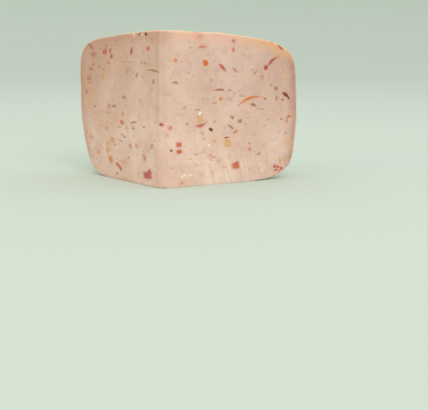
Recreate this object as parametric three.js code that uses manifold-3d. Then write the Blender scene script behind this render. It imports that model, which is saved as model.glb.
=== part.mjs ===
// A quarter wedge of chili cheese, cut from a small round wheel and standing on the wheel's flat foot.
// Millimetres, +Z up. The sharp edge points to -Y, the two cut faces look front left and front right,
// and the round rind is at the back. Chili, herb and skin flakes lie nearly flush in the cut faces,
// and a few show as low bumps through the rind.
import * as THREE from "three";
import { mergeVertices } from "three/addons/utils/BufferGeometryUtils.js";
import Module from "manifold-3d";

const wasm = await Module();
wasm.setup();

// The whole wheel, before it was cut
const WHEEL_HEIGHT = 90;
const WHEEL_RADIUS = 102.5;
const FOOT_RADIUS = 68; // the flat disc that it rests on
const SHOULDER_RADIUS = 98.5; // where the lower shoulder meets the side
const SHOULDER_HEIGHT = 20;
const BELLY_HEIGHT = 50; // height of the widest place
const BROW_RADIUS = 91; // where the upper corner meets the sloping top
const BROW_HEIGHT = 83.2;
const TOP_FLAT_RADIUS = 44; // the nearly level middle of the top
const TOP_CROWN = 0.5; // how far that middle rises to the wheel's axis
const ROUND_STEPS = 144; // facets round the whole wheel

// How the wheel settled and swelled while it drained and ripened
const LEAN = 2; // the rim is this much higher on the -X side, and lower on the +X side
const SLUMP = 6; // how far the foot has crept towards +X
const SLUMP_HEIGHT = 42; // where the creep ends
const SWELL = 0.5; // depth of the slow waves in the rind
const SWELL_WAVES = 5; // waves round the wheel
const SWELL_RISE = 0.11; // how fast the waves change with height, in radians per millimetre

// The cut
const CUT_ANGLE = Math.PI / 2;
const OFF_CENTRE = 4.2; // the knife met this far to the +X side of the wheel's axis
const EDGE_ROUNDING = 2; // the sharp edge, worn soft by handling
const ROUNDING_STEPS = 6;
const BEYOND = 40; // how far the cutting block reaches past the wheel

// Flakes: how deep they sit and how far they stand out of the cut
const FLAKE_DEPTH = 1.2;
const FLAKE_PROUD = 0.4;
const RIND_PROUD = 0.35;
const FACE_MARGIN = 1.6; // bare paste between a flake and the edge of its face
const FLAKE_GAP = 1.4; // least space between two scattered flakes

// Each large flake: [along the face from the sharp edge, height, length, width, tilt, bend].
// Tilt is in degrees, anticlockwise as the face is looked at. Bend is the rise of its middle.
const RIGHT_FLAKES = [
  [31, 72, 3.7, 3.4, 10, 0],
  [43, 69.2, 6.2, 1.5, -42, 0],
  [52.4, 67.9, 5.6, 1.2, -28, -0.4],
  [74.8, 69.2, 3, 2.7, 0, 0],
  [80, 73, 9, 1.3, 36, 0.6],
  [67, 66, 2.8, 1.1, 42, 0],
  [83, 56.8, 2.8, 2, -15, 0],
  [91, 52.2, 5, 2.6, -34, 0],
  [41, 56.1, 9, 1.1, 0, 0.3],
  [62.3, 49.2, 18, 1.7, 17, 1.7],
  [65, 46.4, 4.6, 1.7, -16, 0.3],
  [27, 39.4, 3.8, 3.3, 0, 0],
  [27.6, 36.3, 8.2, 1.6, 16, -0.7],
  [34.5, 33, 2.8, 1.7, -30, 0],
  [6.6, 34.9, 2.6, 2.1, 0, 0],
  [12.4, 25, 3.7, 2.5, -5, 0],
  [12.6, 20.9, 3.7, 1.9, 4, 0],
  [50, 39.7, 3.2, 2, -20, 0],
  [55.6, 37.1, 3.2, 2.3, 8, 0],
  [48.6, 34.3, 5.2, 1.7, -32, 0],
  [52.3, 31, 4, 1.4, 26, 0],
  [46, 27.8, 4.2, 1.2, 4, 0],
  [46.6, 24.3, 4.2, 3.9, 0, 0],
  [52.6, 10.5, 5.2, 4, 6, 0],
  [83.6, 7.9, 4.4, 2.2, -12, 0],
  [93.1, 38.4, 5, 1.4, 20, 0.5],
  [28.6, 81.2, 6.4, 1.2, 3, 0],
  [50.6, 85, 3, 1.7, -20, 0],
];
const LEFT_FLAKES = [
  [33, 79, 4.8, 1.7, 74, 0.3],
  [14, 80.4, 3.6, 2.4, 0, 0],
  [68, 79, 4.4, 2.8, 15, 0],
  [59.4, 76.6, 3.2, 2, 65, 0],
  [87, 82, 7, 1.8, -38, 0],
  [84.6, 78, 5.2, 3, -10, 0],
  [64, 72.3, 3.8, 1.4, 0, 0],
  [88.6, 69, 4.6, 2, 0, 0],
  [70, 64.3, 2.6, 3.2, 0, 0],
  [25, 65, 3.2, 1.7, 60, 0],
  [7.2, 67.3, 10.5, 1.5, -9, 0.5],
  [43.4, 50.8, 3.4, 2.8, 0, -0.5],
  [95.4, 54, 3.4, 2, 0, 0],
  [46, 34.8, 4, 2.1, -12, 0],
  [32, 36, 6, 1.5, 10, 0.3],
  [60, 24.4, 3.8, 2.4, 0, 0],
  [49.4, 23, 5.4, 1.1, -16, 0],
  [67.6, 17, 3.4, 2.6, -20, 0],
  [34, 21.3, 3.4, 2, -52, 0],
  [9.4, 24.6, 3.2, 1.7, 62, 0],
  [62.6, 11.3, 4.4, 2.4, -35, 0],
  [53.4, 8, 4.4, 2.4, -28, 0],
  [18, 15.4, 4.4, 1.5, -54, 0],
  [14.4, 6.2, 8, 4.6, 8, 0],
];

// Small flakes that the rule scatters on each face, and on the rind
const SMALL_PER_FACE = 58;
const SMALL_LENGTH = [1.1, 2.6];
const SMALL_THINNESS = [0.4, 0.9]; // width as a share of length
const RIND_FLAKES = 26;
const RIND_LENGTH = [2, 5];
const RIND_BAND = [24, 68]; // heights on the rind that get flakes
const SCATTER_SEED = 41;

// Small openings in the paste, left by the curds: [along, height, length, width, tilt]
const RIGHT_OPENINGS = [
  [83.6, 50.9, 2.6, 1, 80],
  [28.4, 31.2, 2.2, 1.5, 20],
  [70, 16.6, 3.6, 0.8, 20],
  [72.2, 63.8, 1.8, 1.5, 0],
];
const LEFT_OPENINGS = [
  [57, 45.4, 6, 0.8, -6],
  [44, 27, 2.8, 0.9, 0],
  [7.8, 60.6, 2.8, 1, 80],
];
const OPENING_DEPTH = 1.1;

// A repeatable random number from 0 to 1 for each call.
function seededRandom(seed) {
  let state = seed;
  return () => {
    state = (state + 0x6d2b79f5) | 0;
    let mixed = Math.imul(state ^ (state >>> 15), 1 | state);
    mixed = (mixed + Math.imul(mixed ^ (mixed >>> 7), 61 | mixed)) ^ mixed;
    return ((mixed ^ (mixed >>> 14)) >>> 0) / 4294967296;
  };
}

const between = ([low, high], share) => low + (high - low) * share;

// A closed geometry as a solid that can be joined and cut.
function toSolid(geometry) {
  const bare = geometry.clone();
  bare.deleteAttribute("normal");
  bare.deleteAttribute("uv");
  const merged = mergeVertices(bare, 1e-3);
  const corners = merged.index.array;
  const triangles = [];
  for (let i = 0; i < corners.length; i += 3) {
    const [a, b, c] = corners.slice(i, i + 3);
    if (a !== b && b !== c && c !== a) triangles.push(a, b, c);
  }
  return new wasm.Manifold(
    new wasm.Mesh({
      numProp: 3,
      vertProperties: Float32Array.from(merged.attributes.position.array),
      triVerts: Uint32Array.from(triangles),
    }),
  );
}

// A solid as a geometry with flat facets.
function toGeometry(solid) {
  const mesh = solid.getMesh();
  const geometry = new THREE.BufferGeometry();
  geometry.setAttribute("position", new THREE.BufferAttribute(mesh.vertProperties, 3));
  geometry.setIndex(new THREE.BufferAttribute(mesh.triVerts, 1));
  const facets = geometry.toNonIndexed();
  facets.computeVertexNormals();
  return facets;
}

// Half of the wheel's section, from the axis along the foot, up the side and back over the top.
function wheelSection() {
  const section = new THREE.Path();
  section.moveTo(FOOT_RADIUS, 0);
  section.bezierCurveTo(83, 0, 95.5, 4.5, SHOULDER_RADIUS, SHOULDER_HEIGHT);
  section.bezierCurveTo(100.3, 28, WHEEL_RADIUS, 38, WHEEL_RADIUS, BELLY_HEIGHT);
  section.bezierCurveTo(WHEEL_RADIUS, 66, 103, 79, BROW_RADIUS, BROW_HEIGHT);
  section.bezierCurveTo(80, 88, 62, 87.6, TOP_FLAT_RADIUS, WHEEL_HEIGHT - TOP_CROWN);
  return section.getPoints(7);
}
const SECTION = wheelSection();

// The wheel's radius at a height, before it leans or swells.
function radiusAt(height) {
  const above = SECTION.findIndex((point) => point.y >= height);
  if (above < 0) return 0;
  if (above === 0) return FOOT_RADIUS;
  const [low, high] = [SECTION[above - 1], SECTION[above]];
  return THREE.MathUtils.mapLinear(height, low.y, high.y, low.x, high.x);
}

// How far the wheel's side has settled and swelled at a place on it.
function settled(point) {
  const radius = Math.hypot(point.x, point.y);
  const turn = Math.atan2(point.y, point.x);
  const rim = THREE.MathUtils.smoothstep(radius, TOP_FLAT_RADIUS, WHEEL_RADIUS);
  const wave = Math.sin(SWELL_WAVES * turn + SWELL_RISE * point.z);
  const side = rim * THREE.MathUtils.smoothstep(point.z, 0, SHOULDER_HEIGHT);
  const low = 1 - THREE.MathUtils.smoothstep(point.z, 0, SLUMP_HEIGHT);
  const toward = point.x / WHEEL_RADIUS;
  const grown = 1 + (SWELL * wave * side + SLUMP * low * toward) / WHEEL_RADIUS;
  return new THREE.Vector3(point.x * grown, point.y * grown, point.z - LEAN * side * toward);
}

// The whole wheel, turned on its axis, settled, and set off centre from the cut.
function wheel() {
  const profile = [
    new THREE.Vector2(0, 0),
    ...SECTION,
    new THREE.Vector2(0, WHEEL_HEIGHT),
  ];
  const turned = new THREE.LatheGeometry(profile, ROUND_STEPS);
  turned.rotateX(Math.PI / 2);
  const positions = turned.getAttribute("position");
  const point = new THREE.Vector3();
  for (let i = 0; i < positions.count; i++) {
    point.fromBufferAttribute(positions, i);
    const moved = settled(point);
    positions.setXYZ(i, moved.x, moved.y, moved.z);
  }
  turned.translate(-OFF_CENTRE, 0, 0);
  return toSolid(turned);
}

// What the knife leaves: a quarter of all space round the sharp edge, which is slightly rounded.
function quarterBlock() {
  const reach = WHEEL_RADIUS + BEYOND;
  const outline = new THREE.Shape();
  outline.moveTo(reach, 0);
  outline.lineTo(reach, reach);
  outline.lineTo(0, reach);
  outline.lineTo(0, EDGE_ROUNDING);
  outline.absarc(EDGE_ROUNDING, EDGE_ROUNDING, EDGE_ROUNDING, Math.PI, 1.5 * Math.PI, false);
  const block = new THREE.ExtrudeGeometry(outline, {
    depth: WHEEL_HEIGHT + 2 * BEYOND,
    bevelEnabled: false,
    curveSegments: ROUNDING_STEPS,
  });
  block.translate(0, 0, -BEYOND);
  block.rotateZ(CUT_ANGLE / 2);
  return toSolid(block);
}

// The two cut faces as frames: x runs to the viewer's right, y up, and z out of the cheese.
const half = Math.SQRT1_2;
const FACES = {
  right: { across: new THREE.Vector3(half, half, 0), out: new THREE.Vector3(half, -half, 0), sign: 1 },
  left: { across: new THREE.Vector3(half, -half, 0), out: new THREE.Vector3(-half, -half, 0), sign: -1 },
};
const UP = new THREE.Vector3(0, 0, 1);

// The frame of a flake that lies in a cut face.
function onFace(face, along, height, tilt) {
  const place = face.across.clone().multiplyScalar(face.sign * along);
  return new THREE.Matrix4()
    .makeBasis(face.across, UP, face.out)
    .setPosition(place.x, place.y, height)
    .multiply(new THREE.Matrix4().makeRotationZ(THREE.MathUtils.degToRad(tilt)));
}

// The uneven outline of a flake: a cut chip if it is short, a tapering bent strip if it is long.
function flakeOutline(long, wide, bend, random) {
  const slender = long / wide;
  const corners = slender > 6 ? 12 : slender > 3 ? 8 : 6;
  const bluntness = slender > 2 ? 1 : 0.75;
  const start = random() * Math.PI;
  const outline = new THREE.Shape();
  for (let i = 0; i < corners; i++) {
    const turn = (slender > 2 ? 0 : start) + (2 * Math.PI * i) / corners;
    const uneven = between([0.86, 1.1], random());
    const x = Math.sign(Math.cos(turn)) * Math.abs(Math.cos(turn)) ** bluntness * uneven;
    const y = Math.sign(Math.sin(turn)) * Math.abs(Math.sin(turn)) ** bluntness * uneven;
    const rise = bend * (1 - 2 * x * x);
    const next = [(x * long) / 2, (y * wide) / 2 + rise];
    if (i) outline.lineTo(...next);
    else outline.moveTo(...next);
  }
  outline.closePath();
  return outline;
}

// A flake or an opening as a plate through the surface, in its own frame.
function plate(outline, deep, proud, frame) {
  const body = new THREE.ExtrudeGeometry(outline, { depth: deep + proud, bevelEnabled: false });
  body.translate(0, 0, -deep);
  body.applyMatrix4(frame);
  return toSolid(body);
}

// Whether a flake of this length fits on a cut face with bare paste all round it.
function fitsFace(face, along, height, long) {
  const clear = long / 2 + FACE_MARGIN;
  if (along < clear + EDGE_ROUNDING || height < clear || height > WHEEL_HEIGHT - clear) return false;
  const place = face.across.clone().multiplyScalar(face.sign * along);
  const radius = Math.hypot(place.x + OFF_CENTRE, place.y);
  const rim = Math.min(radiusAt(height - clear - LEAN), radiusAt(height + clear + LEAN));
  return radius + clear < rim;
}

// Small flakes spread over a face by drawing places until one is clear of all the others.
function scatterOnFace(face, taken, random) {
  const placed = [];
  const busy = taken.map(([along, height, long]) => [along, height, long]);
  for (let draw = 0; placed.length < SMALL_PER_FACE && draw < 4000; draw++) {
    const along = random() * WHEEL_RADIUS;
    const height = random() * WHEEL_HEIGHT;
    const long = between(SMALL_LENGTH, random() ** 2);
    const wide = long * between(SMALL_THINNESS, random());
    const tilt = between([-50, 50], random());
    const apart = ([x, y, other]) =>
      Math.hypot(x - along, y - height) > (long + other) / 2 + FLAKE_GAP;
    if (!fitsFace(face, along, height, long) || !busy.every(apart)) continue;
    busy.push([along, height, long]);
    placed.push([along, height, long, wide, tilt, 0]);
  }
  return placed;
}

// Flakes just under the rind, round its side.
function rindFlakes(random) {
  const placed = [];
  for (let i = 0; i < RIND_FLAKES; i++) {
    const share = (i + between([0.25, 0.75], random())) / RIND_FLAKES;
    const turn = between([0.06, 0.94], share) * CUT_ANGLE + CUT_ANGLE / 2;
    const height = between(RIND_BAND, random());
    const long = between(RIND_LENGTH, random());
    const wide = long * between([0.3, 0.6], random());
    const bare = new THREE.Vector3(Math.cos(turn), Math.sin(turn), 0).multiplyScalar(radiusAt(height));
    bare.z = height;
    const place = settled(bare);
    const out = new THREE.Vector3(Math.cos(turn), Math.sin(turn), 0);
    const frame = new THREE.Matrix4()
      .makeBasis(new THREE.Vector3().crossVectors(UP, out), UP, out)
      .setPosition(place.x - OFF_CENTRE, place.y, place.z)
      .multiply(new THREE.Matrix4().makeRotationZ(between([-0.6, 0.6], random())));
    placed.push(plate(flakeOutline(long, wide, 0, random), FLAKE_DEPTH, RIND_PROUD, frame));
  }
  return placed;
}

// The wedge with its openings cut and its flakes fused on.
function cheeseWedge() {
  const random = seededRandom(SCATTER_SEED);
  const flakes = [];
  const openings = [];
  const sides = [
    [FACES.right, RIGHT_FLAKES, RIGHT_OPENINGS],
    [FACES.left, LEFT_FLAKES, LEFT_OPENINGS],
  ];
  for (const [face, large, holes] of sides) {
    const small = scatterOnFace(face, [...large, ...holes], random);
    for (const [along, height, long, wide, tilt, bend] of [...large, ...small]) {
      const outline = flakeOutline(long, wide, bend, random);
      flakes.push(plate(outline, FLAKE_DEPTH, FLAKE_PROUD, onFace(face, along, height, tilt)));
    }
    for (const [along, height, long, wide, tilt] of holes) {
      const outline = flakeOutline(long, wide, 0, random);
      openings.push(plate(outline, OPENING_DEPTH, 1, onFace(face, along, height, tilt)));
    }
  }
  flakes.push(...rindFlakes(random));
  const bare = wheel().intersect(quarterBlock());
  return bare.subtract(wasm.Manifold.union(openings)).add(wasm.Manifold.union(flakes));
}

const paste = new THREE.MeshStandardMaterial({
  name: "chili_cheese",
  color: new THREE.Color().setRGB(0.86, 0.74, 0.66, THREE.SRGBColorSpace),
  roughness: 0.5,
  metalness: 0,
});

const shape = toGeometry(cheeseWedge());
shape.computeBoundingBox();
const middle = shape.boundingBox.getCenter(new THREE.Vector3());
shape.translate(-middle.x, -middle.y, -shape.boundingBox.min.z);

const wedge = new THREE.Mesh(shape, paste);
wedge.name = "cheese_wedge";

const group = new THREE.Group();
group.add(wedge);

export default group;
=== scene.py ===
import math
import random

import bpy
import numpy as np
from mathutils import Matrix, Vector, geometry, kdtree, noise


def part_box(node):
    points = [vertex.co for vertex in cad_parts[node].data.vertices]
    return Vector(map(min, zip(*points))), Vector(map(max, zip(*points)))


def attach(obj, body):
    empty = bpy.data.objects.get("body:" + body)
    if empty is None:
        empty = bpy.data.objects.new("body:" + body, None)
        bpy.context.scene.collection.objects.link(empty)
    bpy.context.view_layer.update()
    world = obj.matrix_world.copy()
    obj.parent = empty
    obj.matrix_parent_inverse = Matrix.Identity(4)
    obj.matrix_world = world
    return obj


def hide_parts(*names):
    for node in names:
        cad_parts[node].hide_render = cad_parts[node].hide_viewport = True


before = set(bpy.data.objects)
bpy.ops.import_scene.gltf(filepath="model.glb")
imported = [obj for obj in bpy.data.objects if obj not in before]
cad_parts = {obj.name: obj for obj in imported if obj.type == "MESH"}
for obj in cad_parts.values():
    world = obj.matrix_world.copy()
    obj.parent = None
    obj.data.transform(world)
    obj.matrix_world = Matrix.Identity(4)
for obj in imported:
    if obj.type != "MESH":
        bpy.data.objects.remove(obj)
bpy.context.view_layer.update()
bpy.ops.object.select_all(action="DESELECT")


# The body is one quarter of a small pressed wheel, about 205 mm across and 90 mm high, of pale
# semi-hard curd. The wheel was moulded in cloth, leant a little as it ripened, and was cut twice
# through its middle with a long knife. The two cuts meet in a sharp edge, worn soft by handling.
MM = 0.001
WHEEL_HEIGHT = 90 * MM
WHEEL_RADIUS = 102.5 * MM
FOOT_RADIUS = 68 * MM
SHOULDER = (98.5 * MM, 20 * MM)  # radius and height where the lower shoulder meets the side
BELLY_HEIGHT = 50 * MM  # height of the widest place
BROW = (91 * MM, 83.2 * MM)  # radius and height where the upper corner meets the top
TOP_FLAT_RADIUS = 44 * MM
TOP_CROWN = 0.5 * MM
ROUND_STEPS = 180
RINGS_PER_CURVE = 9
LEAN = 2 * MM  # the rim is this much higher on the -X side, and lower on the +X side
SLUMP = 6 * MM  # how far the foot has crept towards +X
SLUMP_HEIGHT = 42 * MM  # where the creep ends
SWELL = 0.5 * MM  # depth of the slow waves in the rind
SWELL_WAVES = 5  # waves round the wheel
SWELL_RISE = 110  # how fast the waves change with height, in radians per metre
OFF_CENTRE = 4.2 * MM  # the cuts met this far to the +X side of the wheel's axis
EDGE_ROUNDING = 2 * MM
EDGE_WEAR = 4.8 * MM  # how far back the sharp edge is rubbed
EDGE_X = 1.92 * MM  # the sharp edge stands this far to the +X side of the box's middle
GRID = 0.76 * MM  # size of the even faces that carry the relief
TINY = 0.01 * MM

low_corner = Vector(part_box("cheese_wedge")[0])
sharp_edge = Vector((EDGE_X, low_corner.y - (math.sqrt(2) - 1) * EDGE_ROUNDING, 0))
wheel_axis = sharp_edge - Vector((OFF_CENTRE, 0, 0))


def curve_rings(start, pull, push, end):
    """The rings of one rounded stretch of the wheel's side, as (radius, height)."""
    handles = [Vector((radius, height, 0)) for radius, height in (start, pull, push, end)]
    points = geometry.interpolate_bezier(*handles, RINGS_PER_CURVE)
    return [(point.x, point.y) for point in points[1:]]


belly = (WHEEL_RADIUS, BELLY_HEIGHT)
top_rim = (TOP_FLAT_RADIUS, WHEEL_HEIGHT - TOP_CROWN)
rings = curve_rings((FOOT_RADIUS, 0), (83 * MM, 0), (95.5 * MM, 4.5 * MM), SHOULDER)
rings += curve_rings(SHOULDER, (100.3 * MM, 28 * MM), (WHEEL_RADIUS, 38 * MM), belly)
rings += curve_rings(belly, (WHEEL_RADIUS, 66 * MM), (103 * MM, 79 * MM), BROW)
rings += curve_rings(BROW, (80 * MM, 88 * MM), (62 * MM, 87.6 * MM), top_rim)
rings += [(1 * MM, WHEEL_HEIGHT)]

bpy.ops.mesh.primitive_circle_add(
    vertices=ROUND_STEPS, radius=FOOT_RADIUS, fill_type="NGON", location=wheel_axis
)
body = bpy.context.active_object
body.name = "cheese_body"
bpy.ops.object.mode_set(mode="EDIT")
bpy.ops.mesh.select_all(action="SELECT")
last_radius, last_height = FOOT_RADIUS, 0
for radius, height in rings:
    bpy.ops.mesh.extrude_region_move(
        TRANSFORM_OT_translate={"value": (0, 0, height - last_height)}
    )
    ratio = radius / last_radius
    bpy.ops.transform.resize(value=(ratio, ratio, 1), center_override=wheel_axis)
    last_radius, last_height = radius, height
bpy.ops.mesh.select_all(action="SELECT")
bpy.ops.mesh.normals_make_consistent(inside=False)
bpy.ops.object.mode_set(mode="OBJECT")


def read_points(piece):
    """All of a piece's vertices as rows of x, y and z."""
    points = np.empty(len(piece.data.vertices) * 3)
    piece.data.vertices.foreach_get("co", points)
    return points.reshape(-1, 3)


def write_points(piece, points):
    piece.data.vertices.foreach_set("co", points.ravel())
    piece.data.update()


def smooth(values, start, end):
    """0 at start, 1 at end, and an easy rise between them."""
    share = np.clip((values - start) / (end - start), 0, 1)
    return share * share * (3 - 2 * share)


# The wheel settles: its foot crept towards +X, its rim leant, and its side swelled unevenly.
points = read_points(body)
turn = np.arctan2(points[:, 1], points[:, 0])
rim = smooth(np.hypot(points[:, 0], points[:, 1]), TOP_FLAT_RADIUS, WHEEL_RADIUS)
side = rim * smooth(points[:, 2], 0, SHOULDER[1])
creep = SLUMP * (1 - smooth(points[:, 2], 0, SLUMP_HEIGHT)) * points[:, 0] / WHEEL_RADIUS
wave = SWELL * side * np.sin(SWELL_WAVES * turn + SWELL_RISE * points[:, 2])
points[:, 2] -= LEAN * side * points[:, 0] / WHEEL_RADIUS
points[:, :2] *= (1 + (wave + creep) / WHEEL_RADIUS)[:, None]
write_points(body, points)
bpy.ops.object.transform_apply(location=True)

# The two cuts. Each face has a direction along it from the sharp edge and one out of the cheese.
HALF = math.sqrt(0.5)
UP = Vector((0, 0, 1))
FACES = {
    "right": {"along": Vector((HALF, HALF, 0)), "out": Vector((HALF, -HALF, 0))},
    "left": {"along": Vector((-HALF, HALF, 0)), "out": Vector((-HALF, -HALF, 0))},
}
bpy.ops.object.mode_set(mode="EDIT")
for face in FACES.values():
    bpy.ops.mesh.select_all(action="SELECT")
    bpy.ops.mesh.bisect(
        plane_co=sharp_edge, plane_no=face["out"], use_fill=True, clear_outer=True
    )
bpy.ops.object.mode_set(mode="OBJECT")
for edge in body.data.edges:
    ends = [body.data.vertices[corner].co for corner in edge.vertices]
    edge.select = all((end.xy - sharp_edge.xy).length < TINY for end in ends)
for point in body.data.vertices:
    point.select = (point.co.xy - sharp_edge.xy).length < TINY
for polygon in body.data.polygons:
    polygon.select = False
bpy.ops.object.mode_set(mode="EDIT")
bpy.ops.mesh.bevel(offset=EDGE_WEAR, segments=6, affect="EDGES")
bpy.ops.object.mode_set(mode="OBJECT")

# The solid is turned so that the cuts lie along the grid while it is divided evenly, then back.
for angle in (math.pi / 4, -math.pi / 4):
    body.rotation_euler = (0, 0, angle)
    bpy.ops.object.transform_apply(location=True, rotation=True)
    if angle > 0:
        even = body.modifiers.new("even_grid", "REMESH")
        even.mode = "VOXEL"
        even.voxel_size = GRID
        bpy.ops.object.modifier_apply(modifier="even_grid")


def keep_values(piece, name, values):
    """Stores one number for each vertex, for the material to read."""
    layer = piece.data.attributes.new(name, "FLOAT", "POINT")
    layer.data.foreach_set("value", np.ascontiguousarray(values, dtype=np.float32))


points = read_points(body)
from_edge = points - np.array(sharp_edge)
behind = {name: -from_edge @ np.array(face["out"]) for name, face in FACES.items()}
nearest_cut = np.minimum(behind["right"], behind["left"])
is_cut = 1 - smooth(nearest_cut, 0.3 * MM, 0.9 * MM)

# The worn edge lies behind both cuts, and is bare paste too, but not the rind on top of it.
TOP_SKIN = 0.7 * MM
at_edge = np.maximum(behind["right"], behind["left"]) < 1.3 * EDGE_WEAR
below_top = points[:, 2] < WHEEL_HEIGHT - TOP_SKIN
is_cut[at_edge & below_top] = 1

# How near each point of the cuts is to the rind. The paste stays pale round the foot.
RIND_REACH = 12 * MM
RIND_FROM = 12 * MM
above_foot = points[:, 2] > RIND_FROM
rind_points = np.flatnonzero((is_cut < 0.05) & above_foot)
rind_tree = kdtree.KDTree(len(rind_points))
for number in rind_points:
    rind_tree.insert(points[number], int(number))
rind_tree.balance()
near_rind = above_foot.astype(float)
for number in np.flatnonzero(is_cut > 0):
    reach = rind_tree.find(points[number])[2]
    near_rind[number] = max(0, 1 - reach / RIND_REACH)

# Relief: the pressed curd swells a little on the cuts, and the rind is uneven from the cloth.
for name, weights in (("paste", is_cut), ("rind", 1 - is_cut)):
    group = body.vertex_groups.new(name=name)
    for number, weight in enumerate(weights):
        group.add([number], float(weight), "REPLACE")
RELIEFS = (  # where, the size of its swellings, and their depth
    ("paste", 11 * MM, 0.5 * MM),
    ("paste", 2.6 * MM, 0.16 * MM),
    ("rind", 19 * MM, 1.1 * MM),
    ("rind", 4.5 * MM, 0.4 * MM),
)
for number, (group, size, depth) in enumerate(RELIEFS):
    pattern = bpy.data.textures.new(f"relief_{number}", "CLOUDS")
    pattern.noise_scale = size
    relief = body.modifiers.new(f"relief_{number}", "DISPLACE")
    relief.texture = pattern
    relief.texture_coords = "LOCAL"
    relief.strength = depth
    relief.mid_level = 0.5
    relief.vertex_group = group
    bpy.ops.object.modifier_apply(modifier=relief.name)

# Small openings that the curds left in the paste: (along, height, length, width, tilt), in mm.
OPENINGS = {
    "right": [
        (83.6, 50.9, 2.6, 1, 80), (28.4, 31.2, 2.2, 1.5, 20),
        (70, 16.6, 3.6, 0.8, 20), (72.2, 63.8, 1.8, 1.5, 0),
    ],
    "left": [(57, 45.4, 6, 0.8, -6), (44, 27, 2.8, 0.9, 0), (7.8, 60.6, 2.8, 1, 80)],
}
OPENING_DEPTH = 0.7 * MM
OPENING_LIP = 0.4 * MM  # the soft rim round an opening
PINHOLES = 70  # on each cut
PINHOLE_SIZES = (0.9, 1.9)
PINHOLE_DEPTH = 0.25  # as a share of an opening's
PINHOLE_SEED = 23


def oval_reach(across, above, long, wide, tilt, lip):
    """How far points lie from the middle of a tilted oval, where 1 is the outside of its lip."""
    lean = math.radians(tilt)
    run = across * math.cos(lean) + above * math.sin(lean)
    up = above * math.cos(lean) - across * math.sin(lean)
    return np.hypot(run / (long * MM / 2 + lip), up / (wide * MM / 2 + lip))


chance = random.Random(PINHOLE_SEED)
points = read_points(body)
hollow_and_shade = np.zeros(len(points))
for name, face in FACES.items():
    along = (points - np.array(sharp_edge)) @ np.array(face["along"])
    height = points[:, 2]
    on_face = (behind[name] < 1 * MM) * is_cut
    holes = [(*hole, 1) for hole in OPENINGS[name]]
    for _ in range(PINHOLES):
        size = chance.uniform(*PINHOLE_SIZES)
        spot = (chance.uniform(4, 97), chance.uniform(4, 86))
        shape = (size, size * chance.uniform(0.5, 1), chance.uniform(-40, 40))
        holes.append((*spot, *shape, PINHOLE_DEPTH))
    for at, rise, long, wide, tilt, share in holes:
        far = oval_reach(along - at * MM, height - rise * MM, long, wide, tilt, OPENING_LIP)
        hollow_and_shade = np.maximum(hollow_and_shade, share * on_face * (1 - smooth(far, 0.3, 1.15)))
    points -= np.outer(hollow_and_shade * on_face * OPENING_DEPTH, np.array(face["out"]))
points[:, 2] = np.maximum(points[:, 2], 0)
write_points(body, points)
keep_values(body, "cut", is_cut)
keep_values(body, "near_rind", near_rind)
# The same mask darkens the openings in the material, as painted shade
keep_values(body, "hollow_and_shade", hollow_and_shade)
bpy.ops.object.shade_smooth()

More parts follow.
